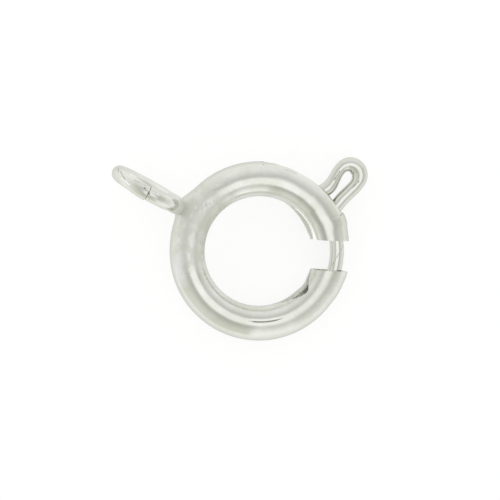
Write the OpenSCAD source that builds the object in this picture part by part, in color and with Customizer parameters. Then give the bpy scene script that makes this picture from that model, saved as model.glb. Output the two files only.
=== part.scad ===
// Spring ring clasp: a bent tube with a sawn gap, a sprung wire bolt that closes
// the gap, and a soldered end ring for the chain. Millimetres, +Z up. The origin
// is the centre of the clasp ring, and the clasp lies as it rests on a table, on
// its end ring and on the far side of the tube.

/* [Ring tube] */
// Outside diameter of the clasp ring
ring_od = 6; // [5:0.1:9]
// Outside diameter of the bent tube
tube_od = 1.17; // [1.1:0.01:1.4]
// Wall of the tube
tube_wall = 0.13; // [0.1:0.01:0.15]
// Width of the gap between the two jaws
gap_w = 1.01; // [0.8:0.01:1.2]
// Direction of the gap, from +X
gap_angle = 25.5; // [20:0.5:30]

/* [Seam of the rolled tube] */
// Hairline between the two edges of the sheet
seam_w = 0.03; // [0.02:0.005:0.05]
// Place of the seam, round the tube from its innermost line to the front
seam_angle = 4; // [2:1:8]
// Depth of the gaping front edge near the bolt's catch
catch_lip = 0.25; // [0.15:0.01:0.3]
// Depth of the gaping front edge at the bolt's own jaw
jaw_lip = 0.11; // [0.05:0.01:0.15]

/* [Bolt] */
// Diameter of the bolt's wire
bolt_wire_d = 0.47; // [0.4:0.01:0.5]
// Clearance between the bolt and the outer side of the bore
bolt_play = 0.02; // [0.015:0.005:0.04]
// Angle that the bolt turns through to open the gap
bolt_travel = 30; // [24:1:32]
// Length of the bolt's tip inside the catch
tip_seat = 0.35; // [0.25:0.01:0.4]
// Length of the bolt's tail behind the trigger
tail_len = 1.4; // [1.2:0.05:1.8]

/* [Trigger] */
// Direction of the trigger's foot, from +X
trigger_angle = 65; // [62:0.5:70]
// Distance of the loop's centre beyond the clasp ring
trigger_reach = 0.96; // [0.8:0.02:1.3]
// Distance that the loop leans back, away from the gap
trigger_lean = 0.27; // [0:0.01:0.3]
// Radius of the loop, on the wire's centre line
loop_r = 0.34; // [0.3:0.01:0.4]
// Distance between the two legs at the tube
legs_apart = 0.56; // [0.52:0.01:0.65]
// Clearance on each side of the wire in the slot
slot_play = 0.04; // [0.03:0.005:0.05]

/* [Spring] */
// Diameter of the spring's wire
spring_wire_d = 0.12; // [0.08:0.01:0.14]
// Clearance between the spring and the bore
spring_play = 0.05; // [0.03:0.01:0.08]
// Number of turns
spring_turns = 26; // [20:1:30]
// Clearance at each end of the spring
spring_end_play = 0.02; // [0.01:0.01:0.05]
// Direction of the stop that the spring pushes against, from +X
stop_angle = 296; // [285:1:305]
// Length of the stop, along the tube
stop_len = 0.3; // [0.2:0.05:0.5]
// Depth of the crease that holds the stop
crease_depth = 0.03; // [0.02:0.005:0.05]

/* [End ring] */
// Outside diameter of the end ring
eye_od = 2.7; // [2.2:0.1:3.2]
// Diameter of the end ring's wire
eye_wire_d = 0.52; // [0.4:0.01:0.6]
// Lean of the end ring out of the upright
eye_lean = 5; // [0:1:8]
// Depth that the end ring sits in the tube's solder
eye_bite = 0.09; // [0.05:0.01:0.1]
// Width of the butt joint across the end ring
eye_joint_w = 0.03; // [0.02:0.005:0.05]
// Radius of the solder's foot on the tube
solder_r = 0.34; // [0.28:0.01:0.38]

/* [Hidden] */
$fn = 48;
// A length that cutting shapes pass the surface by
past = 0.1;

// Ring tube
tube_r = tube_od / 2;
bore_r = tube_r - tube_wall;
ring_r = ring_od / 2 - tube_r;
inner_r = ring_r - tube_r;
seam_z = (tube_r + bore_r) / 2 * sin(seam_angle);

// Bolt and trigger, in the plane of the ring
bolt_r = ring_r + bore_r - bolt_play - bolt_wire_d / 2;
foot_half_angle = asin(legs_apart / 2 / bolt_r);
front_foot_angle = trigger_angle - foot_half_angle;
back_foot_angle = trigger_angle + foot_half_angle;
front_foot = polar(bolt_r, front_foot_angle);
back_foot = polar(bolt_r, back_foot_angle);
loop_centre = polar(ring_od / 2 + trigger_reach, trigger_angle)
    + polar(trigger_lean, trigger_angle + 90);
front_leg_angle = heading(front_foot, loop_centre) - asin(loop_r / norm(loop_centre - front_foot));
back_leg_angle = heading(loop_centre, back_foot) + asin(loop_r / norm(loop_centre - back_foot)) + 360;
// The trigger's wire is a hair slimmer than the bolt that its legs enter
leg_step = 0.01;
wire_sides = 16;
loop_steps = 16;
catch_angle = gap_angle - asin(gap_w / 2 / bolt_r);
tip_angle = catch_angle - tip_seat / bolt_r * 180 / PI;
tail_angle = back_foot_angle + tail_len / bolt_r * 180 / PI;

// Slot, which the trigger's feet run in
slot_w = bolt_wire_d + 2 * slot_play;
slot_margin = slot_w / 2 / bolt_r * 180 / PI;
slot_start = front_foot_angle - slot_margin;
slot_end = back_foot_angle + bolt_travel + slot_margin;

// Spring and its stop
stop_half = stop_len / 2 / ring_r * 180 / PI;
spring_gap = spring_end_play / ring_r * 180 / PI;
spring_start = tail_angle + spring_gap;
spring_end = stop_angle - stop_half - spring_gap;
coil_r = bore_r - spring_play - spring_wire_d / 2;
coil_sides = 5;
coil_steps = 10;
crease_w = 0.04;
crease_back = 2;
crease_front = 25;

// End ring and the way that the clasp lies
eye_r = (eye_od - eye_wire_d) / 2;
eye_x = ring_od / 2 + eye_od / 2 - eye_bite;
eye_drop = eye_r * cos(eye_lean) + eye_wire_d / 2;
rest_tilt = asin((eye_drop - tube_r) / (eye_x + ring_r));

// Middle and half width of each gaping edge, as angles from the gap's direction
catch_lip_angle = -40;
catch_lip_half = 28;
jaw_lip_angle = 20;
jaw_lip_half = 36;

function polar(r, a) = [r * cos(a), r * sin(a)];
function heading(from, to) = atan2(to[1] - from[1], to[0] - from[0]);

// Points and headings along a counter-clockwise arc, as [x, y, heading]
function arc_path(centre, r, from, to, steps) =
    [for (i = [0 : steps])
        let (a = from + (to - from) * i / steps)
            concat(centre + polar(r, a), a + 90)];

// One point on a round wire that follows such a path, at an angle round the wire
function wire_point(step, r, side) = [
    step[0] + r * cos(side) * sin(step[2]),
    step[1] - r * cos(side) * cos(step[2]),
    r * sin(side)
];

// Faces of a tube of points with flat ends, from the number of rings and of sides
function tube_faces(rings, sides) = concat(
    [for (i = [0 : rings - 2], s = [0 : sides - 1])
        let (n = (s + 1) % sides, a = i * sides, b = (i + 1) * sides)
            [a + s, a + n, b + n, b + s]],
    [[for (s = [sides - 1 : -1 : 0]) s]],
    [[for (s = [0 : sides - 1]) (rings - 1) * sides + s]]
);

// A section swept round the ring's axis, from one angle to another
module swept(from, to) {
    rotate([0, 0, from])
        rotate_extrude(angle = to - from)
            translate([ring_r, 0])
                children();
}

// The front edge of the seam cut back by one round cut, deepest at an angle from
// the gap and shallow at a half width to each side of it
module lip_cut(angle, half_width, depth) {
    half_chord = inner_r * sin(half_width);
    rise = depth + inner_r * (1 - cos(half_width));
    cut_r = (pow(half_chord, 2) + pow(rise, 2)) / (2 * rise);
    rotate([0, 0, gap_angle + angle])
        translate([inner_r + depth - cut_r, 0, seam_z])
            cylinder(r = cut_r, h = tube_r + past);
}

module tube() {
    difference() {
        swept(0, 360) circle(r = tube_r);
        swept(stop_angle + stop_half, stop_angle - stop_half + 360) circle(r = bore_r);
        // Hairline seam
        swept(0, 360)
            translate([-tube_r - past, seam_z - seam_w / 2])
                square([tube_wall + 2 * past, seam_w]);
        // Gap between the jaws
        rotate([0, 0, gap_angle])
            translate([0, -gap_w / 2, -tube_od])
                cube([ring_od, gap_w, 2 * tube_od]);
        // Slot for the trigger
        swept(slot_start, slot_end)
            translate([0, -slot_w / 2])
                square([tube_od, slot_w]);
        lip_cut(catch_lip_angle, catch_lip_half, catch_lip);
        lip_cut(jaw_lip_angle, jaw_lip_half, jaw_lip);
        // Crease over the stop
        swept(stop_angle - crease_back, stop_angle + crease_front)
            translate([-crease_w, tube_r - crease_depth])
                square([crease_w, tube_od]);
    }
}

module end_ring() {
    translate([-eye_x, 0, 0])
        rotate([eye_lean, 0, 0])
            difference() {
                rotate([90, 0, 0])
                    rotate_extrude()
                        translate([eye_r, 0])
                            circle(d = eye_wire_d);
                translate([-eye_joint_w / 2, -eye_wire_d, eye_r - eye_wire_d])
                    cube([eye_joint_w, 2 * eye_wire_d, 2 * eye_wire_d]);
            }
}

// Solder between the tube and the end ring
module solder() {
    translate([-ring_od / 2 + tube_wall - past / 10, 0, 0])
        rotate([0, -90, 0])
            cylinder(r1 = solder_r, r2 = eye_wire_d / 2 * 0.9, h = eye_wire_d / 2 + tube_wall);
}

module ring_tube() {
    color("gainsboro")
        as_it_lies()
            union() {
                tube();
                end_ring();
                solder();
            }
}

// Part of the bolt inside the tube and across the gap
module tongue_and_tail() {
    rotate([0, 0, tip_angle])
        rotate_extrude(angle = tail_angle - tip_angle)
            translate([bolt_r, 0])
                circle(d = bolt_wire_d);
}

// Hairpin loop whose two legs stand on the bolt
module trigger() {
    path = concat(
        [concat(front_foot, front_leg_angle)],
        arc_path(loop_centre, loop_r, front_leg_angle - 90, back_leg_angle - 90, loop_steps),
        [concat(back_foot, back_leg_angle)]
    );
    points = [for (step = path, s = [0 : wire_sides - 1])
        wire_point(step, bolt_wire_d / 2 - leg_step, s * 360 / wire_sides)];
    polyhedron(points, tube_faces(len(path), wire_sides), convexity = 6);
}

module trigger_bolt() {
    color("silver")
        as_it_lies()
            union() {
                tongue_and_tail();
                trigger();
            }
}

// Share of the spring's length reached after a number of turns, with one flat
// turn at each end
function coil_share(turn) =
    let (flat = spring_wire_d / (ring_r * (spring_end - spring_start) * PI / 180))
        turn < 1 ? flat * turn
        : turn > spring_turns - 1 ? 1 - flat * (spring_turns - turn)
        : flat + (1 - 2 * flat) * (turn - 1) / (spring_turns - 2);

// One point on the spring's wire, at a turn and at an angle round the wire
function coil_point(turn, side) =
    let (
        wire_r = spring_wire_d / 2,
        margin = wire_r / ring_r * 180 / PI,
        a = spring_start + margin
            + (spring_end - spring_start - 2 * margin) * coil_share(turn),
        out = coil_r + wire_r * cos(side),
        along = wire_r * sin(side),
        r = ring_r + out * cos(360 * turn)
    )
        [r * cos(a) - along * sin(a), r * sin(a) + along * cos(a), out * sin(360 * turn)];

module coil_spring() {
    rings = spring_turns * coil_steps + 1;
    points = [for (i = [0 : rings - 1], s = [0 : coil_sides - 1])
        coil_point(i / coil_steps, s * 360 / coil_sides)];
    color("slategray")
        as_it_lies()
            polyhedron(points, tube_faces(rings, coil_sides), convexity = 10);
}

// Leans the clasp as it rests on a table
module as_it_lies() {
    rotate([0, rest_tilt, 0])
        children();
}

ring_tube();
trigger_bolt();
coil_spring();
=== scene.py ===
# %% [markdown]
# # A silver spring ring clasp
#
# A spring ring is the small round clasp of a fine chain. A thin tube is bent
# into a ring and a gap is sawn in it. Inside the tube a bent wire, the bolt,
# closes the gap, and a coil spring pushes it shut. The bolt's loop sticks out of
# a slot as the trigger, and an end ring soldered to the back holds the chain.
#
# The first cell loads the measured model. Everything made here is fitted to it,
# and nothing in it is moved.

# %% Load the measured frame
from math import asin, atan2, cos, degrees, exp, hypot, pi, radians, sin

import bpy
from mathutils import Matrix, Vector, noise


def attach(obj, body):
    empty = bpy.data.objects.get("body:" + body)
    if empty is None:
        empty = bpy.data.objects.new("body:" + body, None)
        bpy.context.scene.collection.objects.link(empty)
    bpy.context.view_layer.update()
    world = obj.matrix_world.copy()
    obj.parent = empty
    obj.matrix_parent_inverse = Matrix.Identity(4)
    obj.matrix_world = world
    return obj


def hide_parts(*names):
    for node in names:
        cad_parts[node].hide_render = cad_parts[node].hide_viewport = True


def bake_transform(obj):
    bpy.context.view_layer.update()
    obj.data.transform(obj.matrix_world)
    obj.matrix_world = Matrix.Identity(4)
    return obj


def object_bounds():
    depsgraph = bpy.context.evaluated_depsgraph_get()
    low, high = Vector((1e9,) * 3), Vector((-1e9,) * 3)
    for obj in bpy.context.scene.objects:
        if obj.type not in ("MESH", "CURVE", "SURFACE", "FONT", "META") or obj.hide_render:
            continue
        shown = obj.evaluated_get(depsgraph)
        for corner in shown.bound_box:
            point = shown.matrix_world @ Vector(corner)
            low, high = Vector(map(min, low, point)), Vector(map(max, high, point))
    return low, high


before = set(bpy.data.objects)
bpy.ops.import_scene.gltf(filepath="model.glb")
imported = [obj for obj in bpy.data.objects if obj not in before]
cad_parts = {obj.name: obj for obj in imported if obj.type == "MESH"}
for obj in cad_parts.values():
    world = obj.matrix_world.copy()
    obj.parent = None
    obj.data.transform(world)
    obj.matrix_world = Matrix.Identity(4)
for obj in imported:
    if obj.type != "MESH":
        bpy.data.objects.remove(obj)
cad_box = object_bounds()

# %% [markdown]
# ## Sizes
#
# All sizes are in millimetres, as a jeweller's gauge gives them. Blender counts
# in metres, and many of its tools join points that lie closer than a tenth of a
# millimetre, which would ruin a part this small. So each piece is modelled a
# thousand times too large, one unit for one millimetre, and shrunk at the end.

# %% Sizes of the clasp
RING_OD = 6.0
TUBE_OD = 1.17
WALL = 0.13
GAP = 1.01
GAP_ANGLE = 25.5
SEAM = 0.012
SEAM_ANGLE = 4.0
WIRE_D = 0.47
BOLT_PLAY = 0.02
TIP_SEAT = 0.35
TAIL_LEN = 1.4
TRAVEL = 30.0
TRIGGER_ANGLE = 65.0
LOOP_R = 0.34
LEGS_APART = 0.56
BEND_R = 0.34
SLOT_PLAY = 0.04
STOP_ANGLE = 296.0
EYE_OD = 2.7
EYE_WIRE = 0.52
EYE_LEAN = 5.0
EYE_BITE = 0.09

tube_r = TUBE_OD / 2
sheet_r = tube_r - WALL / 2
bore_r = tube_r - WALL
ring_r = RING_OD / 2 - tube_r
wire_r = WIRE_D / 2
bolt_r = ring_r + bore_r - BOLT_PLAY - wire_r
slot_w = WIRE_D + 2 * SLOT_PLAY
eye_r = (EYE_OD - EYE_WIRE) / 2
eye_x = RING_OD / 2 + EYE_OD / 2 - EYE_BITE
eye_drop = eye_r * cos(radians(EYE_LEAN)) + EYE_WIRE / 2
lean = asin((eye_drop - tube_r) / (eye_x + ring_r))
print(f"the clasp leans {degrees(lean):.2f} degrees on its end ring")

# %% [markdown]
# ## Working by hand, in code
#
# A modelling tool acts on whatever is selected. These helpers do what a hand on
# the mouse does: pick one object, go into edit mode, and pick points or faces by
# where they are.

# %% Helpers for picking and editing
def pick(piece):
    for other in bpy.context.selected_objects:
        other.select_set(False)
    piece.select_set(True)
    bpy.context.view_layer.objects.active = piece


def added(name):
    piece = bpy.context.object
    piece.name = piece.data.name = name
    bpy.ops.object.transform_apply(location=True, rotation=True, scale=True)
    return piece


def select_faces(piece, wanted):
    """Selects the faces whose centre passes a test, and leaves edit mode on."""
    pick(piece)
    bpy.ops.object.mode_set(mode="EDIT")
    bpy.ops.mesh.select_mode(type="FACE")
    bpy.ops.mesh.select_all(action="DESELECT")
    bpy.ops.object.mode_set(mode="OBJECT")
    for face in piece.data.polygons:
        face.select = wanted(face.center)
    bpy.ops.object.mode_set(mode="EDIT")


SHARP_EDGE = 55


def soften(piece, wanted, width):
    """Bevels the sharp edges whose middle passes a test."""
    pick(piece)
    bpy.ops.object.mode_set(mode="EDIT")
    bpy.ops.mesh.select_mode(type="EDGE")
    bpy.ops.mesh.select_all(action="DESELECT")
    bpy.ops.mesh.edges_select_sharp(sharpness=radians(SHARP_EDGE))
    bpy.ops.object.mode_set(mode="OBJECT")
    corners = piece.data.vertices
    for edge in piece.data.edges:
        if edge.select:
            edge.select = wanted((corners[edge.vertices[0]].co + corners[edge.vertices[1]].co) / 2)
    bpy.ops.object.mode_set(mode="EDIT")
    bpy.ops.mesh.bevel(offset=width, segments=3, clamp_overlap=True)
    bpy.ops.object.mode_set(mode="OBJECT")


def apply_modifier(piece, kind, **settings):
    pick(piece)
    modifier = piece.modifiers.new(kind.lower(), kind)
    for key, value in settings.items():
        setattr(modifier, key, value)
    bpy.ops.object.modifier_apply(modifier=modifier.name)


def chamfer_ends(piece, width):
    """Bevels the rims of a wire's two cut ends, and merges what collapses."""
    apply_modifier(piece, "BEVEL", width=width, segments=3, limit_method="ANGLE", angle_limit=radians(60))
    pick(piece)
    bpy.ops.object.mode_set(mode="EDIT")
    bpy.ops.mesh.select_all(action="SELECT")
    bpy.ops.mesh.remove_doubles(threshold=0.0003)
    bpy.ops.object.mode_set(mode="OBJECT")


def sweep(centre, turn, steps):
    """Spins the selected end round a centre, counter-clockwise for a positive turn."""
    bpy.ops.mesh.spin(steps=steps, angle=-radians(turn), center=centre, axis=(0, 0, 1))


def polar(r, angle, z=0.0):
    return Vector((r * cos(radians(angle)), r * sin(radians(angle)), z))


def bump(x, centre, half_width):
    """A smooth hill, 1 at its centre and 0 from half_width away."""
    t = abs(x - centre) / half_width
    return 0.0 if t >= 1 else (1 - t * t) ** 2


def ring_angle(p):
    return degrees(atan2(p.y, p.x)) % 360


# %% [markdown]
# Each finished piece is shrunk to metres and laid down as the clasp rests, a
# little raised at the end ring. Its place goes into its mesh, so the object
# itself stays at the origin.

# %% Lay a finished piece down
def lay_down(piece, smooth_angle=40):
    pick(piece)
    piece.matrix_world = Matrix.Rotation(lean, 4, "Y") @ Matrix.Scale(0.001, 4)
    bpy.ops.object.transform_apply(location=True, rotation=True, scale=True)
    bpy.ops.object.shade_smooth_by_angle(angle=radians(smooth_angle))
    print(piece.name, len(piece.data.polygons), "faces")
    return piece


# %% [markdown]
# ## The rolled tube
#
# The tube is a strip of silver sheet, rolled until its edges meet and bent into
# a ring with the seam inside. A torus with holes cut in it would have no sheet
# and no seam. So an open circle, the strip seen from its end, is spun round the
# ring's axis, which gives the sheet with its two free edges along the seam.

# %% Spin the open strip round the ring
SECTION_STEPS = 88
RING_STEPS = 384

bpy.ops.mesh.primitive_circle_add(
    vertices=SECTION_STEPS, radius=sheet_r, location=(ring_r, 0, 0), rotation=(pi / 2, 0, pi)
)
tube = added("clasp_tube")
seam_point = Vector((ring_r - sheet_r, 0, sheet_r * sin(radians(SEAM_ANGLE))))
bpy.ops.object.mode_set(mode="EDIT")
bpy.ops.mesh.select_mode(type="EDGE")
bpy.ops.mesh.select_all(action="DESELECT")
bpy.ops.object.mode_set(mode="OBJECT")
corners = tube.data.vertices
seam_edge = min(
    tube.data.edges,
    key=lambda e: ((corners[e.vertices[0]].co + corners[e.vertices[1]].co) / 2 - seam_point).length,
)
seam_edge.select = True
bpy.ops.object.mode_set(mode="EDIT")
bpy.ops.mesh.delete(type="EDGE_FACE")
bpy.ops.mesh.select_all(action="SELECT")
sweep((0, 0, 0), 360, RING_STEPS)
bpy.ops.mesh.select_all(action="SELECT")
bpy.ops.mesh.remove_doubles(threshold=0.0001)
bpy.ops.object.mode_set(mode="OBJECT")
print("sheet", len(tube.data.vertices), "points,", len(tube.data.polygons), "faces")

# %% [markdown]
# The strip's front edge isn't straight: where the ring was sawn, the edge gapes.
# Next to the bolt's catch it leaves an eye-shaped hole that shows the hollow
# tube. Each point of the sheet has a place round the ring and a share of the way
# round the tube, so the edge is drawn back by sliding its points round the tube.

# %% Draw back the gaping edge
half_seam = degrees(SEAM / 2 / tube_r)
LIP = (
    (-74, 0.0), (-66, 0.02), (-60, 0.055), (-54, 0.093), (-48, 0.15), (-43, 0.2), (-38, 0.24), (-35, 0.228),
    (-32, 0.165), (-29, 0.105), (-25, 0.06), (-18, 0.03), (-9, 0.02), (0, 0.1), (17, 0.12), (26, 0.09),
    (37, 0.075), (49, 0.06), (60, 0.03), (70, 0.0),
)


def between(stops, x):
    """Reads a smooth line through (place, value) stops."""
    for (x0, y0), (x1, y1) in zip(stops, stops[1:]):
        if x0 <= x <= x1:
            t = (x - x0) / (x1 - x0)
            return y0 + (y1 - y0) * t * t * (3 - 2 * t)
    return 0.0


def from_gap(angle):
    return (angle - GAP_ANGLE + 180) % 360 - 180


def lip_depth(angle):
    """How far the front edge is drawn back, seen from above, in millimetres."""
    return between(LIP, from_gap(angle))


def section_angle(p):
    """Angle round the tube: 0 outermost, 90 on top, 180 innermost."""
    return degrees(atan2(p.z, hypot(p.x, p.y) - ring_r)) % 360


front_edge = 180 - SEAM_ANGLE
for point in tube.data.vertices:
    ring_at = ring_angle(point.co)
    round_tube = (front_edge - section_angle(point.co)) % 360
    share = min(max((round_tube - 180 / SECTION_STEPS) / (360 - 360 / SECTION_STEPS), 0), 1)
    depth = lip_depth(ring_at)
    drawn = degrees(asin(min(1.0, max(0.0, 1 - depth / tube_r)))) - 90
    start = front_edge + min(drawn + SEAM_ANGLE, 0) - half_seam
    end = front_edge - 360 + half_seam
    at = start + share * (end - start)
    point.co = polar(ring_r + sheet_r * cos(radians(at)), ring_at, sheet_r * sin(radians(at)))
print("deepest gape", max(lip_depth(a) for a in range(360)), "mm")

# %% [markdown]
# Real findings are never perfectly round. The sheet is pulled a little by the
# bending, the jaw beside the trigger is sprung open, the solder left a rough
# mound, and a crease crosses the front over the spring's stop. All of this moves
# the sheet's points along its own normal, by hundredths of a millimetre.

# %% Dents, flare and solder on the sheet
JAW_FLARE = (
    (-34, 0.0), (-22, 0.03), (-9, 0.06), (9, 0.035), (13, 0.045), (17, 0.06), (23, 0.115), (27, 0.11), (32, 0.085),
    (46, 0.08), (56, 0.045), (64, 0.035), (74, 0.06), (80, 0.05), (88, 0.01), (94, 0.0),
)
REAR_LIP = (
    (-44, 0.0), (-33, -0.05), (-24, 0.0), (9, 0.05), (16, 0.06), (26, 0.085), (36, 0.085), (46, 0.065), (56, 0.035),
    (66, 0.0),
)
CREASE = (289.0, 319.0)
PITS = (
    (168.5, 89.0, 0.085, 0.045), (166.0, 97.0, 0.06, 0.03), (172.5, 84.0, 0.07, 0.025), (160.0, 112.0, 0.05, 0.02),
    (176.0, 118.0, 0.06, 0.02), (181.0, 70.0, 0.05, 0.018), (152.0, 60.0, 0.05, 0.02), (205.0, 74.0, 0.07, 0.014),
)


def solder_height(ring_at, at):
    """Thickness of the solder that ran over the tube beside the end ring."""
    along = radians(ring_at - 180) * ring_r
    across = radians((at + 180) % 360 - 180) * sheet_r
    flood = bump(ring_at, 176, 48) * bump((at + 180) % 360 - 180, 60, 130)
    lumps = 0.35 + noise.noise(Vector((along * 2.3, across * 2.6, 4.2)))
    fine = noise.noise(Vector((along * 6.0, across * 6.0, 1.7)))
    mound = exp(-(((along + 0.1) / 0.36) ** 2 + (across / 0.36) ** 2))
    return 0.022 * flood * lumps + 0.009 * flood * fine + 0.15 * mound


def sheet_shift(p):
    ring_at = ring_angle(p)
    at = section_angle(p)
    around = Vector((cos(radians(ring_at)), sin(radians(ring_at)), 0))
    shift = 0.007 * noise.noise(p * 0.9 + Vector((3, 1, 7)))
    shift += 0.002 * noise.noise(p * 3.0 + around)
    shift += 0.028 * cos(radians(2 * (at - 135))) * sin(radians(at))
    shift += between(JAW_FLARE, from_gap(ring_at)) * max(0.0, cos(radians(at))) ** 1.5
    shift += between(REAR_LIP, from_gap(ring_at)) * bump(at, 182, 34)
    shift += solder_height(ring_at, at)
    for pit_at, pit_section, radius, depth in PITS:
        away = hypot(radians(ring_at - pit_at) * ring_r, radians(at - pit_section) * sheet_r)
        shift -= depth * bump(away, 0, radius)
    if CREASE[0] < ring_at < CREASE[1]:
        fade = min(1.0, (ring_at - CREASE[0]) / 4, (CREASE[1] - ring_at) / 8)
        shift -= 0.022 * fade * bump(at, 98.0, 4.0)
    return shift


for point in tube.data.vertices:
    middle = polar(ring_r, ring_angle(point.co))
    point.co += (point.co - middle).normalized() * sheet_shift(point.co)
print("largest flare", round(max(hypot(v.co.x, v.co.y) for v in tube.data.vertices) - ring_r - sheet_r, 3), "mm")

# %% [markdown]
# The gap between the jaws is one saw cut with parallel faces, and the trigger's
# slot is milled along the outside. Bisect cuts the sheet along a plane without
# removing anything, so the faces between the cuts can then be deleted cleanly.
# A milling cutter is round, so the slot's edges are then drawn together at its
# ends.

# %% Saw the gap
gap_out = polar(1, GAP_ANGLE)
gap_side = polar(1, GAP_ANGLE + 90)
for side in (-1, 1):
    select_faces(tube, lambda c: c.dot(gap_out) > ring_r * 0.6)
    bpy.ops.mesh.bisect(plane_co=gap_side * side * GAP / 2, plane_no=gap_side, threshold=0.001)
    bpy.ops.object.mode_set(mode="OBJECT")
select_faces(tube, lambda c: c.dot(gap_out) > 0 and abs(c.dot(gap_side)) < GAP / 2)
bpy.ops.mesh.delete(type="FACE")
bpy.ops.object.mode_set(mode="OBJECT")
# Points that lie close to the cut step back, which leaves room for a bevel.
CLEAR = 0.024
for point in tube.data.vertices:
    past = abs(point.co.dot(gap_side)) - GAP / 2
    if point.co.dot(gap_out) > 0 and 0.0005 < past < CLEAR:
        point.co += gap_side * (CLEAR - past) * (1 if point.co.dot(gap_side) > 0 else -1)
print("faces after the gap", len(tube.data.polygons))

# %% Mill the slot
SLOT_SPARE = 9.4
FRONT_ROUND, FRONT_OPEN = 0.27, 0.25
BACK_TAPER, BACK_OPEN = 0.6, 0.2
leg_half = degrees(asin(LEGS_APART / 2 / bolt_r))
slot_margin = degrees(slot_w / 2 / bolt_r)
slot_start = TRIGGER_ANGLE - leg_half - slot_margin
slot_end = TRIGGER_ANGLE + leg_half + TRAVEL + slot_margin + SLOT_SPARE


def on_outside(c):
    return hypot(c.x, c.y) > ring_r + 0.3 * sheet_r


def beside_slot(c, margin):
    return on_outside(c) and slot_start - margin < ring_angle(c) < slot_end + margin


for side in (-1, 1):
    select_faces(tube, lambda c: beside_slot(c, 3))
    bpy.ops.mesh.bisect(plane_co=(0, 0, side * slot_w / 2), plane_no=(0, 0, 1), threshold=0.001)
    bpy.ops.object.mode_set(mode="OBJECT")
for end_at in (slot_start, slot_end):
    select_faces(tube, lambda c: beside_slot(c, 3) and abs(c.z) < slot_w * 0.6)
    bpy.ops.mesh.bisect(plane_co=(0, 0, 0), plane_no=polar(1, end_at + 90), threshold=0.001)
    bpy.ops.object.mode_set(mode="OBJECT")
select_faces(tube, lambda c: beside_slot(c, 0) and abs(c.z) < slot_w / 2)
bpy.ops.mesh.delete(type="FACE")
bpy.ops.object.mode_set(mode="OBJECT")


def end_share(ring_at):
    """How far the slot is open here: 1 along it, less at its round front and its tapered back."""
    front = min(1.0, max(0.0, radians(ring_at - slot_start) * bolt_r / FRONT_ROUND))
    back = min(1.0, max(0.0, radians(slot_end - ring_at) * bolt_r / BACK_TAPER))
    round_front = FRONT_OPEN + (1 - FRONT_OPEN) * (1 - (1 - front) ** 2) ** 0.5
    return min(round_front, BACK_OPEN + (1 - BACK_OPEN) * back ** 0.8)


for point in tube.data.vertices:
    p = point.co
    ring_at = ring_angle(p)
    if on_outside(p) and slot_start - 0.1 < ring_at < slot_end + 0.1:
        fade = min(1.0, max(0.0, (slot_w - abs(p.z)) / (slot_w / 2)))
        closed = (1 - end_share(ring_at)) * min(abs(p.z), slot_w / 2) * fade
        middle = polar(ring_r, ring_at)
        across = (p - middle).length
        new_z = p.z - (closed if p.z > 0 else -closed)
        point.co = middle + polar((across * across - new_z * new_z) ** 0.5, ring_at, new_z)
print(f"slot from {slot_start:.1f} to {slot_end:.1f} degrees")

# %% [markdown]
# The sheet gets its thickness last. Solidify lays half of it on each side, and a
# small bevel breaks the sawn edges, so that they catch the light as real ones do.
# The slot's edges stay sharp, because its narrow faces leave no room for one.

# %% Give the sheet its wall
pick(tube)
bpy.ops.object.mode_set(mode="EDIT")
bpy.ops.mesh.select_all(action="SELECT")
bpy.ops.mesh.remove_doubles(threshold=0.004)
bpy.ops.mesh.normals_make_consistent(inside=False)
bpy.ops.object.mode_set(mode="OBJECT")
apply_modifier(tube, "SOLIDIFY", thickness=WALL, offset=0.0, use_even_offset=False)
soften(tube, lambda c: not beside_slot(c, 4), 0.018)
lay_down(tube)

# %% [markdown]
# ## The bolt and its trigger
#
# The bolt is one piece of round wire, bent over pins. A curve does the same: it
# runs through points, and its bevel is the wire round it. The ends follow the
# tube as arcs. The trigger between them goes through pins measured on the photo:
# both feet spread as they dive into the slot, one leg leans, and the loop is a
# little too large to be neat.

# %% Set the pins
PINS = (
    (-0.305, 2.99, 1.0), (-0.275, 3.12, 1.0), (-0.235, 3.28, 1.0), (-0.205, 3.47, 1.0), (-0.176, 3.69, 1.0),
    (-0.128, 3.94, 1.0), (-0.045, 4.15, 1.0), (0.104, 4.28, 1.0), (0.288, 4.316, 1.0), (0.452, 4.262, 1.0),
    (0.566, 4.154, 0.97), (0.622, 4.015, 0.93), (0.623, 3.857, 0.88), (0.566, 3.663, 0.86), (0.485, 3.489, 0.87),
    (0.405, 3.321, 0.93), (0.355, 3.156, 1.0), (0.35, 2.984, 1.0),
)
DIVE = 20.0
FOOT_TURN = 7.15
catch_angle = GAP_ANGLE - degrees(asin(GAP / 2 / bolt_r))
tip_angle = catch_angle - degrees(TIP_SEAT / bolt_r)
tail_angle = TRIGGER_ANGLE + leg_half + degrees(TAIL_LEN / bolt_r)
out_way = polar(1, TRIGGER_ANGLE)
side_way = polar(1, TRIGGER_ANGLE + 90)
pins = [out_way * far + side_way * aside for aside, far, _ in PINS]
front_foot = ring_angle(pins[0]) - FOOT_TURN
back_foot = ring_angle(pins[-1]) + FOOT_TURN
bend_r = bolt_r + BEND_R
loop_centre = sum(pins[7:12], Vector()) / 5


def steps(start, end, pace):
    count = max(1, round(abs(end - start) / pace))
    return [start + (end - start) * i / count for i in range(count + 1)]


line = [polar(bolt_r, a) for a in steps(tip_angle, front_foot, 5)[:-1]]
line += [polar(bend_r, front_foot) + polar(BEND_R, a) for a in steps(front_foot + 180, front_foot + 90 + DIVE, 12)]
line += pins
line += [polar(bend_r, back_foot) + polar(BEND_R, a) for a in steps(back_foot - 90 - DIVE, back_foot - 180, 12)]
line += [polar(bolt_r, a) for a in steps(back_foot, tail_angle, 5)[1:]]
print(f"tip {tip_angle:.1f}, feet {front_foot:.1f} and {back_foot:.1f}, tail {tail_angle:.1f} degrees")

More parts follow.
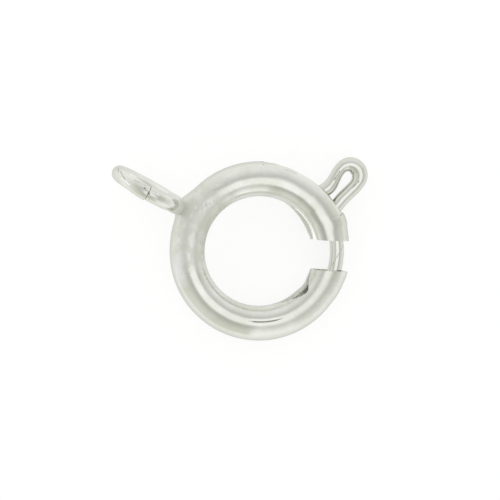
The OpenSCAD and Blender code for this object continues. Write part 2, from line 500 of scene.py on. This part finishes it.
# %% Run the wire through them
bend_line = bpy.data.curves.new("trigger_wire", "CURVE")
bend_line.dimensions = "3D"
bend_line.resolution_u = 5
bend_line.twist_mode = "Z_UP"
bend_line.bevel_depth = wire_r
bend_line.bevel_resolution = 7
spline = bend_line.splines.new("BEZIER")
spline.bezier_points.add(len(line) - 1)
for knot, place in zip(spline.bezier_points, line):
    knot.co = place
    knot.radius = PINS[pins.index(place)][2] if place in pins else 1.0
    knot.handle_left_type = knot.handle_right_type = "AUTO"
wire = bpy.data.objects.new("trigger_wire", bend_line)
bpy.context.collection.objects.link(wire)
pick(wire)
bpy.ops.object.convert(target="MESH")
wire = bpy.context.object
bpy.ops.object.mode_set(mode="EDIT")
bpy.ops.mesh.select_all(action="SELECT")
bpy.ops.mesh.remove_doubles(threshold=0.0005)
bpy.ops.object.mode_set(mode="OBJECT")
print("wire", len(wire.data.polygons), "faces, loop centre", [round(v, 2) for v in loop_centre])

# %% [markdown]
# The wire's two cut ends are closed with a small chamfer. Bending so tight a
# loop has pressed the metal together on its inside, where it bulges with fine
# wrinkles, and the wire outside the tube wobbles faintly.

# %% Close the ends and wear the wire
BULGE = out_way * 4.13 + side_way * 0.24
HOLE_MIDDLE = out_way * 3.85 + side_way * 0.2


def cap_loops(piece):
    """Fills each open end of a swept wire with its own face."""
    pick(piece)
    bpy.ops.object.mode_set(mode="EDIT")
    bpy.ops.mesh.select_mode(type="EDGE")
    bpy.ops.mesh.select_all(action="DESELECT")
    bpy.ops.mesh.select_non_manifold(extend=False)
    bpy.ops.mesh.fill_holes(sides=0)
    bpy.ops.mesh.select_all(action="SELECT")
    bpy.ops.mesh.fill_holes(sides=0)
    bpy.ops.mesh.normals_make_consistent(inside=False)
    bpy.ops.object.mode_set(mode="OBJECT")


cap_loops(wire)
chamfer_ends(wire, 0.06)
for point in wire.data.vertices:
    p = point.co
    out = hypot(p.x, p.y)
    if out > RING_OD / 2 + 0.05:
        inner = bump((p - loop_centre).length, LOOP_R - wire_r, 0.12)
        p += (p - loop_centre).normalized() * 0.012 * inner * bump(p.z, 0, 0.2)
        p.z += 0.006 * noise.noise(p * 2.3 + Vector((5, 2, 9)))
        p += Vector((1, 0, 0)) * 0.006 * noise.noise(p * 1.9)
        flat = Vector((p.x, p.y, 0))
        press = bump((flat - BULGE).length, 0, 0.3) * bump(p.z, 0.05, 0.26)
        p += (HOLE_MIDDLE - flat).normalized() * 0.11 * press * bump((flat - HOLE_MIDDLE).length, 0.15, 0.35)
        p.z += 0.02 * press * noise.noise(p * 9.0)
lay_down(wire)

# %% [markdown]
# ## The spring
#
# The spring is a coil of hard wire, bent to the tube's curve. It is modelled
# straight first, as a spring winder makes it: the Screw modifier winds a small
# circle into a helix. Then each point's length along the coil becomes an angle
# round the ring.

# %% Wind the spring and bend it
SPRING_D = 0.12
SPRING_TURNS = 26
coil_r = bore_r - 0.05 - SPRING_D / 2
stop_half = degrees(0.3 / 2 / ring_r)
end_play = degrees(0.02 / ring_r)
spring_from = tail_angle + end_play + degrees(SPRING_D / 2 / ring_r)
spring_to = STOP_ANGLE - stop_half - end_play - degrees(SPRING_D / 2 / ring_r)

bpy.ops.mesh.primitive_circle_add(
    vertices=10, radius=SPRING_D / 2, location=(coil_r, 0, 0), rotation=(pi / 2, 0, 0)
)
spring = added("spring_coil")
apply_modifier(
    spring, "SCREW", axis="Z", angle=2 * pi * SPRING_TURNS, screw_offset=radians(spring_to - spring_from) * ring_r,
    steps=SPRING_TURNS * 20, render_steps=SPRING_TURNS * 20, use_normal_calculate=True,
)
for point in spring.data.vertices:
    p = point.co
    angle = spring_from + degrees(p.z / ring_r)
    point.co = polar(ring_r + p.x, angle, p.y)
cap_loops(spring)
lay_down(spring)

# %% [markdown]
# ## The end ring
#
# The end ring is a jump ring: wire wound round a rod and cut, so its two ends
# meet in a butt joint, never quite in line. It stands across the tube, a little
# twisted. The wire is spun through almost a full turn, and one end is then
# pushed aside by a few hundredths.

# %% Wind the jump ring
JOINT_GAP = 0.005
JOINT_AT = 92.0
JOINT_STEP = 0.04
FAR_SIDE = 0.025

joint_turn = degrees(JOINT_GAP / eye_r)
bpy.ops.mesh.primitive_circle_add(vertices=40, radius=EYE_WIRE / 2, location=(eye_r, 0, 0), rotation=(pi / 2, 0, 0))
eye = added("end_ring")
bpy.ops.object.mode_set(mode="EDIT")
bpy.ops.mesh.select_all(action="SELECT")
sweep((0, 0, 0), 360 - joint_turn, 180)
bpy.ops.object.mode_set(mode="OBJECT")
cap_loops(eye)
chamfer_ends(eye, 0.035)
for point in eye.data.vertices:
    p = point.co
    near_end = bump((ring_angle(p) + 180) % 360 - 180, 0, 40) if ring_angle(p) < 180 else 0
    p.z += JOINT_STEP * near_end
    p += polar(0.012 * near_end, ring_angle(p))
    p.z += 0.008 * noise.noise(Vector((p.x, p.y, 0)) * 0.8) + FAR_SIDE * bump(ring_angle(p), 180, 80)
    flat = noise.noise(p * 2.6 + Vector((4, 4, 1)))
    p += (p - polar(eye_r, ring_angle(p))).normalized() * 0.016 * min(0.0, flat)
pick(eye)
eye.matrix_world = (
    Matrix.Translation((-eye_x, 0, 0))
    @ Matrix.Rotation(radians(EYE_LEAN), 4, "X")
    @ Matrix.Rotation(pi / 2, 4, "X")
    @ Matrix.Rotation(radians(JOINT_AT), 4, "Z")
)
bpy.ops.object.transform_apply(location=True, rotation=True, scale=True)
lay_down(eye)

# %% [markdown]
# ## The solder
#
# Solder runs into the corner between the ring and the tube and leaves a hollow,
# smooth fillet. A trick gives that form: a short stretch of each is made again,
# both are fused into one skin by a voxel remesh, and the skin is smoothed.
# Smoothing fills the hollow corner and sinks the round parts under the real
# surfaces, so only the fillet is left to see. The fused body is solid: it also
# fills the tube behind the corner, where nothing shows.

# %% Fuse and smooth the corner
def arc_stub(name, centre, radius, thick, turn, stand):
    """A capped arc of wire, centred on its own middle, then placed."""
    bpy.ops.mesh.primitive_circle_add(vertices=32, radius=thick, location=(radius, 0, 0), rotation=(pi / 2, 0, 0))
    stub = added(name)
    stub.data.transform(Matrix.Rotation(radians(-turn / 2), 4, "Z"))
    bpy.ops.object.mode_set(mode="EDIT")
    bpy.ops.mesh.select_all(action="SELECT")
    sweep((0, 0, 0), turn, 24)
    bpy.ops.object.mode_set(mode="OBJECT")
    cap_loops(stub)
    for point in stub.data.vertices:
        angle = (ring_angle(point.co) + 180) % 360 - 180
        middle = polar(radius, angle)
        point.co = middle + (point.co - middle) * (1 - 0.12 * (2 * angle / turn) ** 2)
    stub.data.transform(Matrix.Translation(centre) @ stand)
    return stub


tube_stub = arc_stub("solder_joint", (0, 0, 0), ring_r, tube_r - 0.002, 36, Matrix.Rotation(pi, 4, "Z"))
eye_stand = Matrix.Rotation(radians(EYE_LEAN), 4, "X") @ Matrix.Rotation(pi / 2, 4, "X")
eye_stub = arc_stub("eye_stub", (-eye_x, 0, 0), eye_r, EYE_WIRE / 2 + 0.04, 84, eye_stand)
pick(eye_stub)
tube_stub.select_set(True)
bpy.context.view_layer.objects.active = tube_stub
bpy.ops.object.join()
solder = tube_stub
apply_modifier(solder, "REMESH", mode="VOXEL", voxel_size=0.03, use_smooth_shade=True)
apply_modifier(solder, "SMOOTH", factor=0.5, iterations=70)
for point in solder.data.vertices:
    p = point.co
    point.co += (p - Vector((-ring_r, 0, 0))).normalized() * 0.01 * noise.noise(p * 3.2 + Vector((1, 8, 3)))
lay_down(solder, 180)

# %% [markdown]
# ## Shader maths
#
# A material is a web of small nodes. Written out, each sum takes three lines, so
# this class wraps a socket and lets plain Python sums add the Math nodes.

# %% Sockets that can be added and multiplied
RAMP_MM = 5.0


class Socket:
    """One output of a node; sums on it add Math nodes."""

    def __init__(self, web, socket):
        self.web, self.socket = web, socket

    def math(self, operation, *others):
        return self.web.node("ShaderNodeMath", {"operation": operation}, self, *others)

    def __add__(self, other):
        return self.math("ADD", other)

    __radd__ = __add__

    def __sub__(self, other):
        return self.math("SUBTRACT", other)

    def __rsub__(self, other):
        return self.web.node("ShaderNodeMath", {"operation": "SUBTRACT"}, other, self)

    def __mul__(self, other):
        return self.math("MULTIPLY", other)

    __rmul__ = __mul__

    def __pow__(self, other):
        return self.math("POWER", other)


class Web:
    """The node tree of one material or of the world."""

    def __init__(self, owner):
        owner.use_nodes = True
        self.tree = owner.node_tree
        self.tree.nodes.clear()

    def node(self, kind, settings=None, *inputs, output=0, **named):
        made = self.tree.nodes.new(kind)
        for key, value in (settings or {}).items():
            if key == "stops":
                self.set_stops(made.color_ramp, value)
            else:
                setattr(made, key, value)
        for key, value in [*enumerate(inputs), *named.items()]:
            name = key if isinstance(key, int) else key.replace("_", " ")
            self.feed(made.inputs[name], value)
        return Socket(self, made.outputs[output]) if made.outputs else None

    def feed(self, into, value):
        if isinstance(value, Socket):
            self.tree.links.new(value.socket, into)
        else:
            into.default_value = value

    def set_stops(self, ramp, stops):
        while len(ramp.elements) < len(stops):
            ramp.elements.new(0.5)
        for element, (place, colour) in zip(ramp.elements, stops):
            element.position = place
            element.color = colour if len(colour) == 4 else (*colour, 1.0)

    def ramp(self, value, *stops):
        """Turns a number into a grey by a few (place, grey) stops."""
        return self.node("ShaderNodeValToRGB", {"stops": [(p, (g, g, g)) for p, g in stops]}, value)

    def near(self, value, centre, full, none):
        """1 close to a centre, fading to 0 farther away."""
        return self.ramp((value - centre).math("ABSOLUTE"), (0.0, 1.0), (full, 1.0), (none, 0.0))

    def within(self, radius, full, none):
        """1 inside a radius, fading to 0 outside. A ramp only reads 0 to 1, so the radius is scaled first."""
        return self.ramp(radius * (1 / RAMP_MM), (0.0, 1.0), (full / RAMP_MM, 1.0), (none / RAMP_MM, 0.0))

    def beyond(self, radius, none, full):
        """1 outside a radius, fading to 0 inside."""
        return self.ramp(radius * (1 / RAMP_MM), (0.0, 0.0), (none / RAMP_MM, 0.0), (full / RAMP_MM, 1.0))

    def mix(self, share, a, b):
        """Mixes two colours by a share."""
        made = self.tree.nodes.new("ShaderNodeMix")
        made.data_type = "RGBA"
        for place, value in ((0, share), (6, a), (7, b)):
            self.feed(made.inputs[place], value)
        return Socket(self, made.outputs[2])


print("shader maths ready")

# %% [markdown]
# ## Polished silver
#
# Silver is white, warm by a hair, and its look is all reflection. What makes it
# real is how uneven that reflection is: fine lines where the tube was drawn and
# polished, a haze of handling, tiny pits, and a dull, darker inside that no
# polishing mop reaches. The lines have to follow the tube round, so they are
# drawn in the ring's own directions, worked out from the object's coordinates.
# Some colour is painted light: painted shade on the wire's sides and the tube's
# outer side, painted dark reflection lines and painted highlights among the
# marks, a painted dark reflection on the tube's inner side and along its crest,
# and a glow inside the tube.

# %% Silver for the tube, the wire and the solder
PALE = (0.80, 0.81, 0.76, 1)
OLIVE = (0.71, 0.725, 0.65, 1)
OXIDE_AND_DARK_REFLECTION = (0.2, 0.2, 0.17, 1)
HIGHLIGHT_WHITE = (1.0, 1.0, 0.99, 1)
FLANK_SHADE_TINT = (0.665, 0.68, 0.61, 1)
DARK_GREY_TINT = (0.5, 0.51, 0.44, 1)
COLD = (0.83, 0.825, 0.83, 1)
INSIDE = (0.82, 0.83, 0.78, 1)
NO_GLOW = (0, 0, 0, 1)
SLIT_GLOW = (0.8, 0.8, 0.77, 1)
OPENING_GLOW = (0.29, 0.29, 0.25, 1)

# Where the tube's wear and its painted light lie round the ring, in radians: middle, full reach, end.
JAW_HAZE = (-0.23, 0.30, 0.52)
CREST_DARK_REFLECTION = (-0.98, 0.18, 0.27)
SHOULDER_DARK_REFLECTION = (0.95, 0.35, 0.6)
UPPER_SLIT = (1.02, 0.38, 0.46)
LOWER_OPENING = (-0.42, 0.16, 0.25)
SPRUNG_SIDE = (0.79, 0.13, 0.19)
COLD_PATCH = (-2.39, 0.16, 0.21)


def millimetres(web):
    """Object coordinates in millimetres, with the clasp's lean taken out."""
    place = web.node("ShaderNodeTexCoord", None, output=3)
    return web.node(
        "ShaderNodeMapping", {"vector_type": "POINT"}, place, Rotation=(0, -lean, 0), Scale=(1000, 1000, 1000)
    )


def speckle(web, place, scale, detail=3.0, rough=0.55):
    return web.node(
        "ShaderNodeTexNoise", None, Vector=place, Scale=scale, Detail=detail, Roughness=rough
    )


def stroke(web, x, y, start, end, width):
    """A fine mark from start to end, seen from above, as a share of 0 to 1."""
    run = Vector(end) - Vector(start)
    ux, uy = run.normalized()
    aside = ((x - start[0]) * -uy + (y - start[1]) * ux).math("ABSOLUTE")
    ahead = (x - start[0]) * ux + (y - start[1]) * uy
    line = web.ramp(aside * 5.0, (0.0, 1.0), (width * 2.0, 1.0), (width * 5.0, 0.0))
    past_end = (ahead - run.length / 2).math("ABSOLUTE") - run.length / 2
    ends = web.ramp(past_end + 0.5, (0.0, 1.0), (0.48, 1.0), (0.52, 0.0))
    return line * ends


def silver(
    name, lines=1.0, haze=1.0, pits=0.3, base_rough=0.16, metal=1.0, rolled_tube=False, marks=(), flank_shade=0.0
):
    """Worn silver with painted light; a mark is start, end, width and strength: over 0 it paints a dark line over a
    small groove, under 0 a painted highlight.
    """
    material = bpy.data.materials.new(name)
    web = Web(material)
    place = millimetres(web)
    split = web.node("ShaderNodeSeparateXYZ", None, place)
    x, y, z = (Socket(web, split.socket.node.outputs[i]) for i in range(3))
    out = (x * x + y * y) ** 0.5
    turn = y.math("ARCTAN2", x)
    along = web.node("ShaderNodeCombineXYZ", None, out * 14.0, turn * 1.6, z * 14.0)
    drawn = speckle(web, along, 1.0, 2.0, 0.5)
    cloud = speckle(web, place, 1.3, 4.0)
    grain = speckle(web, place, 30.0, 2.0)
    scratch_map = web.node(
        "ShaderNodeMapping", {"vector_type": "POINT"}, place, Rotation=(0.4, 0.7, 0.9), Scale=(1.2, 30.0, 9.0)
    )
    scratches = web.ramp(speckle(web, scratch_map, 1.0, 2.0), (0.0, 0.0), (0.66, 0.0), (0.70, 1.0))
    pit_noise = web.ramp(speckle(web, place, 11.0, 2.0), (0.0, 1.0), (0.29, 0.6), (0.36, 0.0))
    rough = base_rough + (cloud - 0.5) * 0.12 * haze + (drawn - 0.5) * 0.06 * lines
    rough = rough + scratches * 0.08 + pit_noise * 0.25 * pits
    glow = NO_GLOW
    tone = web.ramp(cloud, (0.0, 0.0), (0.38, 0.0), (0.62, 1.0))
    colour = web.mix(tone * haze * 0.8, PALE, OLIVE)
    # Painted shade: the wire's sides, at mid-height, are tinted darker.
    colour = web.mix(web.near(z, 0.0, 0.17, 0.225) * flank_shade, colour, FLANK_SHADE_TINT)
    colour = web.mix(pit_noise * 0.5 * pits, colour, OXIDE_AND_DARK_REFLECTION)
    height = drawn * 0.25 * lines + grain * 0.06 + scratches * -0.3 + pit_noise * -1.2 * pits
    chatter = web.ramp(speckle(web, place, 16.0, 1.0), (0.0, 0.0), (0.42, 0.2), (0.5, 1.0))
    # Marks are painted: a dark one is a painted dark line over a small groove, a bright one a painted highlight.
    for start, end, width, dark in marks:
        mark = stroke(web, x, y, start, end, width) * web.ramp(z, (0.0, 0.0), (0.05, 0.0), (0.15, 1.0))
        colour = web.mix(mark * chatter * abs(dark), colour, OXIDE_AND_DARK_REFLECTION if dark > 0 else HIGHLIGHT_WHITE)
        height = height - mark * chatter * (3.0 if dark > 0 else 0.0)
    if rolled_tube:
        # Heat from soldering left this side of the ring matt and blotched.
        away = (y * -1.0).math("ARCTAN2", x * -1.0)
        away = (away - 0.07).math("ABSOLUTE") + (cloud - 0.5) * 0.9
        heated = web.ramp(away, (0.0, 1.0), (0.52, 1.0), (0.72, 0.0))
        blotch = web.ramp(speckle(web, place, 2.6, 3.0), (0.0, 0.0), (0.46, 0.0), (0.54, 1.0))
        peel = speckle(web, place, 4.0, 2.0)
        rough = rough + heated * 0.24 + heated * blotch * 0.1
        colour = web.mix(heated * (0.1 + blotch * 0.5), colour, OLIVE)
        # The lower jaw is hazier than the rest, and a thin dark reflection line is painted along the crest below.
        rough = rough + web.near(turn, *JAW_HAZE) * 0.13
        crest_dark_line = web.near(out, 2.334, 0.010, 0.024) * web.near(turn, *CREST_DARK_REFLECTION)
        crest_dark_line = crest_dark_line * web.ramp(z, (0.0, 0.0), (0.4, 0.0), (0.45, 1.0))
        colour = web.mix(crest_dark_line * 0.85, colour, OXIDE_AND_DARK_REFLECTION)
        height = height + heated * peel * 7.0
        # A darker band is painted on the tube's inner side, next to the upper jaw: a painted dark reflection.
        inner_shoulder_shade = web.near(out, 2.19, 0.07, 0.15) * web.near(turn, *SHOULDER_DARK_REFLECTION)
        colour = web.mix(inner_shoulder_shade * (0.15 + blotch * 0.4), colour, DARK_GREY_TINT)
        # The inside is duller. Where it shows, at the slit and at the opening, a small glow lifts it.
        from_middle = ((out - ring_r) * (out - ring_r) + z * z) ** 0.5
        slit = web.near(turn, *UPPER_SLIT) * web.within(out, 1.95, 2.05)
        slit = slit * web.ramp(z, (0.0, 1.0), (0.12, 1.0), (0.2, 0.0))
        opening = web.near(turn, *LOWER_OPENING) * web.within(out, 2.05, 2.25)
        depth = from_middle - slit * 0.09 - opening * 0.035
        inside = web.ramp(depth, (0.0, 1.0), (bore_r - 0.03, 1.0), (bore_r + 0.03, 0.0))
        colour = web.mix(inside, colour, INSIDE)
        rough = rough + inside * 0.3
        metal = 1.0 - inside * 0.75
        mottle = web.ramp(speckle(web, place, 9.0, 2.0), (0.0, 0.3), (0.42, 0.3), (0.56, 1.0))
        glow = web.mix(inside * slit, NO_GLOW, SLIT_GLOW)
        glow = web.mix(inside * opening * mottle, glow, OPENING_GLOW)
        # Polishing hardly reaches the hole's rim, so it is softer than the crest.
        rim = web.within(out, 1.93, 2.09) * (1.0 - inside)
        rough = rough + rim * 0.24
        sliver = slit * (1.0 - inside)
        colour = web.mix(sliver * 0.6, colour, DARK_GREY_TINT)
        # The sprung jaw's outside is greyer, and a cold patch lies on the far side.
        jaw_side = web.near(turn, *SPRUNG_SIDE) * web.beyond(out, 2.5, 2.9)
        colour = web.mix(jaw_side * 0.4, colour, DARK_GREY_TINT)
        cold = web.near(turn, *COLD_PATCH) * web.beyond(out, 2.6, 2.675)
        colour = web.mix(cold * 0.8, colour, COLD)
        # Painted shade: the tube's outermost side, at mid-height, is tinted darker.
        outer_flank_shade = web.near(z, 0.0, 0.2, 0.42) * web.beyond(out, 2.4, 2.7)
        colour = web.mix(outer_flank_shade * 0.8, colour, FLANK_SHADE_TINT)
    normal = web.node("ShaderNodeBump", None, Strength=0.35, Distance=0.000006, Height=height)
    shader = web.node(
        "ShaderNodeBsdfPrincipled", None, Base_Color=colour, Metallic=metal, Roughness=rough, Normal=normal,
        Specular_Tint=(0.8, 0.8, 0.8, 1), Emission_Color=glow, Emission_Strength=1.0,
    )
    web.node("ShaderNodeOutputMaterial", None, Surface=shader)
    return material


TUBE_MARKS = (
    ((1.79, 2.52), (1.95, 2.39), 0.035, 0.75), ((2.0, 2.33), (2.04, 2.27), 0.02, 0.6),
    ((-0.62, 2.78), (-0.2, 2.86), 0.012, 0.45),
)
tube_silver = silver(
    "silver_tube", lines=0.6, haze=1.0, pits=0.12, base_rough=0.12, rolled_tube=True, marks=TUBE_MARKS
)
# The first three wire marks are painted dark reflection lines along the wire's crest; the last is a plier dent, a
# small groove with its dark reflection painted on.
WIRE_MARKS = (
    ((1.03, 3.28), (1.05, 3.66), 0.018, 0.9), ((1.68, 3.34), (1.77, 3.66), 0.02, 0.95),
    ((2.36, 0.75), (2.36, 1.62), 0.014, 0.6), ((1.30, 3.62), (1.52, 3.70), 0.03, 0.6),
)
# The end ring's dark marks are painted dark reflection edges over small grooves; those with a strength under 0 are
# painted highlights.
EYE_MARKS = (
    ((-5.416, 0.084), (-5.134, -0.119), 0.016, 0.8), ((-4.902, 0.05), (-4.463, 0.069), 0.014, 0.6),
    ((-4.53, -0.02), (-4.45, -0.03), 0.03, 0.9), ((-4.31, -0.09), (-4.25, -0.12), 0.03, 0.9),
    ((-5.5, 0.14), (-5.45, 0.02), 0.02, 0.6), ((-5.1, 0.17), (-4.5, 0.2), 0.05, -1.0),
    ((-5.3, -0.1), (-4.95, -0.17), 0.04, -0.9), ((-4.36, -0.02), (-3.95, 0.0), 0.05, -0.9),
)
wire_silver = silver("silver_wire", lines=0.3, haze=0.7, pits=0.08, base_rough=0.1, marks=WIRE_MARKS, flank_shade=0.85)
eye_silver = silver("silver_eye", lines=0.4, haze=1.3, pits=0.12, base_rough=0.2, marks=EYE_MARKS)
solder_silver = silver("silver_solder", lines=0.0, haze=0.2, pits=0.1, base_rough=0.42, metal=0.35)
spring_steel = silver("spring_steel", lines=0.2, haze=1.0, pits=0.2, base_rough=0.25)
print("materials", len(bpy.data.materials))

# %% [markdown]
# ## Fasten the pieces to the moving bodies
#
# The tube, the end ring and the solder stand for one solid. The wire slides
# round inside it. The spring is fastened to no body; its mesh stays where it lies.

# %% Dress and fasten
for piece, finish, slot_name in (
    (tube, tube_silver, "silver_tube"),
    (eye, eye_silver, "silver_tube"),
    (solder, solder_silver, "silver_tube"),
    (wire, wire_silver, "silver_wire"),
    (spring, spring_steel, "spring_steel"),
):
    piece.data.materials.clear()
    piece.data.materials.append(finish)


def as_laid(p):
    return tuple(Matrix.Rotation(lean, 3, "Y") @ (p * 0.001))


for piece in (tube, eye, solder):
    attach(piece, "ring")
    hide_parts("ring_tube")
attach(wire, "bolt")
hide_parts("trigger_bolt")
as_laid(polar(ring_r, spring_to))
as_laid(polar(ring_r, spring_from))
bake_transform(spring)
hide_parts("coil_spring")
print("fastened")

# %% [markdown]
# ## Floor, light and camera
#
# The clasp lies on a pale floor that glows a little, as a light table does, in a
# light tent. The tent is brightest overhead, with a greyer band lower down that
# draws the soft dark lines along the tube, and cards of slightly different tints
# stand round it. The camera looks straight down, turned as in the photo.

# %% Pale floor
FLOOR_GLOW = 0.76

floor_z = cad_box[0][2]
bpy.ops.mesh.primitive_plane_add(size=2, location=(0, 0, floor_z - 0.00001))
floor = bpy.context.object
floor.name = "floor"
paper = bpy.data.materials.new("white_paper")
web = Web(paper)
shader = web.node(
    "ShaderNodeBsdfPrincipled", None, Base_Color=(0.3, 0.3, 0.3, 1), Roughness=0.9,
    Emission_Color=(1, 1, 1, 1), Emission_Strength=FLOOR_GLOW,
)
web.node("ShaderNodeOutputMaterial", None, Surface=shader)
floor.data.materials.append(paper)
print("floor at", round(floor_z * 1000, 3), "mm")

# %% Light tent
# A ramp holds no level above 1, so the tent's levels and the cards' tints are
# both divided by the brightest allowed, and the strength gives it back twice.
BRIGHTEST = 1.2

world = bpy.data.worlds.new("light_tent")
bpy.context.scene.world = world
web = Web(world)
direction = web.node("ShaderNodeTexCoord", None, output=0)
direction = web.node("ShaderNodeMapping", {"vector_type": "POINT"}, direction, Rotation=(0, -2 * lean, 0))
split = web.node("ShaderNodeSeparateXYZ", None, direction)
height = Socket(web, split.socket.node.outputs[2])
TENT = (
    (0.0, 0.95), (0.22, 0.95), (0.50, 0.87), (0.70, 0.75), (0.80, 0.655), (0.87, 0.67), (0.92, 0.84), (0.95, 1.02),
    (0.97, 1.11), (1.0, 1.11),
)
CARDS = (
    (14, (0.93, 0.93, 0.90)), (57, (0.93, 0.93, 0.90)), (60, (1.04, 1.04, 1.05)), (140, (1.04, 1.04, 1.05)),
    (144, (0.98, 0.98, 0.97)), (229, (0.98, 0.98, 0.97)), (232, (0.87, 0.87, 0.82)), (293, (0.87, 0.87, 0.82)),
    (296, (1.18, 1.18, 1.17)), (327, (1.18, 1.18, 1.17)), (332, (0.97, 0.97, 0.95)), (359, (0.97, 0.97, 0.95)),
)
glow = web.ramp(height, *[(p, g / BRIGHTEST) for p, g in TENT])
x, y = (Socket(web, split.socket.node.outputs[i]) for i in range(2))
turned = y.math("ARCTAN2", x) * (1 / (2 * pi)) + 1.0 + (height - 0.7) * (5 / 360)
turned = turned.math("FRACT")
stops = [(place / 360, tuple(c / BRIGHTEST for c in tint)) for place, tint in CARDS]
cards = web.node("ShaderNodeValToRGB", {"stops": stops}, turned)
below_top = web.ramp(height, (0.0, 1.0), (0.88, 1.0), (0.95, 0.0))
cards = web.mix(below_top, (1 / BRIGHTEST, 1 / BRIGHTEST, 1 / BRIGHTEST, 1), cards)
glow = web.node("ShaderNodeVectorMath", {"operation": "MULTIPLY"}, glow, cards)
background = web.node("ShaderNodeBackground", None, Color=glow, Strength=BRIGHTEST * BRIGHTEST)
web.node("ShaderNodeOutputWorld", None, Surface=background)
print("lights set")

# %% Camera above the clasp
PX_PER_MM = 29.95
PHOTO_PX = 500
RING_CENTRE_PX = (259.1, 250.95)
PHOTO_TURN = 29.0
LENS_TO_CLASP = 0.16
SENSOR_MM = 36

frame_w = PHOTO_PX / PX_PER_MM * 0.001
camera_data = bpy.data.cameras.new("photo_camera")
camera_data.sensor_width = SENSOR_MM
camera_data.lens = SENSOR_MM * LENS_TO_CLASP / frame_w
camera_data.clip_start = 0.001
camera_data.clip_end = 10
camera = bpy.data.objects.new("photo_camera", camera_data)
bpy.context.collection.objects.link(camera)
offset = Vector((PHOTO_PX / 2 - RING_CENTRE_PX[0], RING_CENTRE_PX[1] - PHOTO_PX / 2)) / PX_PER_MM * 0.001
right = polar(1, PHOTO_TURN)
up = polar(1, PHOTO_TURN + 90)
camera.location = right * offset.x + up * offset.y + Vector((0, 0, LENS_TO_CLASP))
camera.rotation_euler = (0, 0, radians(PHOTO_TURN))
bpy.context.scene.camera = camera
bpy.context.scene.view_settings.view_transform = "Standard"
print(f"lens {camera_data.lens:.0f} mm")
